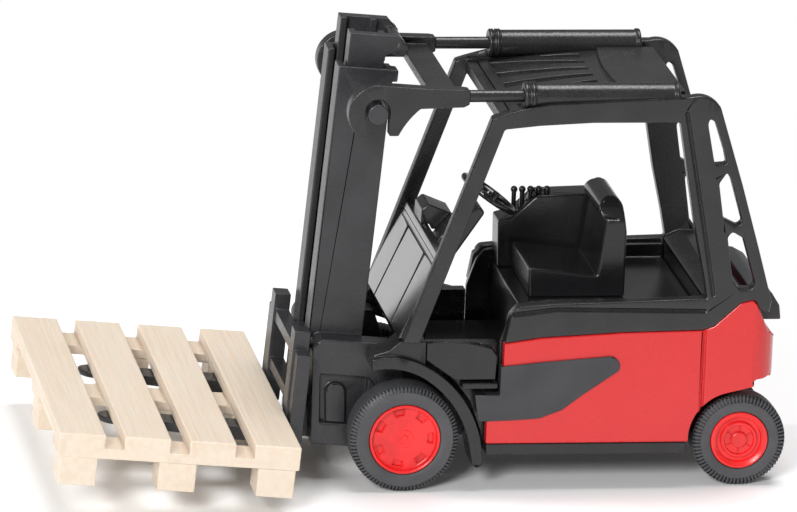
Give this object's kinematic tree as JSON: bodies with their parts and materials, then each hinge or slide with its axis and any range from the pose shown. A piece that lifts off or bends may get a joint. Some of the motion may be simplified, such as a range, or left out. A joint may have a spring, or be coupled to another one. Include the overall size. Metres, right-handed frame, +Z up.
{
  "type": "toy forklift",
  "caption": "small-scale toy counterbalance forklift with overhead guard, tilting telescopic mast, sliding fork carriage and a pallet on the forks",
  "frame": {"origin": "on the floor, under the middle of the bounding box", "axes": "+X towards the fork tips, +Y to the truck's left, +Z up"},
  "size_m": [0.0796, 0.0436, 0.0482],
  "materials": {
    "axle_steel": "bright drawn wire",
    "tyre_rubber": "matt, finely ribbed",
    "rim_red": "moulded, satin gloss",
    "base_grey": "satin dark grey",
    "screw_steel": "plain",
    "body_red": "glossy",
    "trim_grey": "satin, fine grain",
    "fender_black": "soft gloss black",
    "guard_grey": "satin, fine grain",
    "cowl_black": "bright satin",
    "cab_black": "glossy black",
    "mast_grey": "satin dark grey",
    "pallet_cream": "cream, embossed wood grain"
  },
  "bodies": {
    "chassis": {"chassis_base": "base_grey", "base_screws": "screw_steel", "body_shell": "body_red", "rear_grille": "trim_grey", "side_trim_left": "trim_grey", "side_trim_right": "trim_grey", "front_fender_left": "fender_black", "front_fender_right": "fender_black", "step_left": "fender_black", "step_right": "fender_black", "overhead_guard": "guard_grey", "roof_panel": "guard_grey", "tilt_barrel_left": "guard_grey", "tilt_barrel_right": "guard_grey", "front_cowl": "cowl_black", "cab_tub": "cab_black", "seat": "cab_black", "armrest_console": "cab_black", "control_levers": "cab_black", "instrument_hood": "cab_black", "steering_column": "cab_black", "steering_wheel": "cab_black"},
    "front_wheels": {"front_axle": "axle_steel", "front_left_tyre": "tyre_rubber", "front_right_tyre": "tyre_rubber", "front_left_rim": "rim_red", "front_right_rim": "rim_red"},
    "rear_wheels": {"rear_axle": "axle_steel", "rear_left_tyre": "tyre_rubber", "rear_right_tyre": "tyre_rubber", "rear_left_rim": "rim_red", "rear_right_rim": "rim_red"},
    "mast": {"outer_mast": "mast_grey"},
    "lift_stage": {"inner_mast": "mast_grey"},
    "link": {"tilt_link": "guard_grey"},
    "carriage": {"fork_carriage": "mast_grey"},
    "load": {"pallet": "pallet_cream"}
  },
  "joints": [
    {"name": "front_wheels_spin", "type": "hinge", "parent": "chassis", "child": "front_wheels", "pos_m": [0.00165, 0, 0.00585], "axis": [0, 1, 0], "continuous": true},
    {"name": "rear_wheels_spin", "type": "hinge", "parent": "chassis", "child": "rear_wheels", "pos_m": [-0.03475, 0, 0.00506], "axis": [0, 1, 0], "continuous": true},
    {"name": "mast_tilt", "type": "hinge", "parent": "chassis", "child": "mast", "pos_m": [0.00165, 0, 0.00585], "axis": [0, 1, 0], "range_deg": [-3.5, 5]},
    {"name": "tilt_rods", "type": "slide", "parent": "chassis", "child": "link", "axis": [1, 0, 0], "range_m": [-0.0023, 0.0033]},
    {"name": "mast_lift", "type": "slide", "parent": "mast", "child": "lift_stage", "axis": [-0.0765, 0, 0.9971], "range_m": [0, 0.024]},
    {"name": "carriage_lift", "type": "slide", "parent": "lift_stage", "child": "carriage", "axis": [-0.0765, 0, 0.9971], "range_m": [-0.0008, 0.027]},
    {"name": "pallet_off", "type": "slide", "parent": "carriage", "child": "load", "axis": [0.9971, 0, 0.0765], "range_m": [0, 0.03]}
  ],
  "couplings": [
    {"joint": "tilt_rods", "follows": "mast_tilt", "m_per_rad": 0.0355}
  ]
}
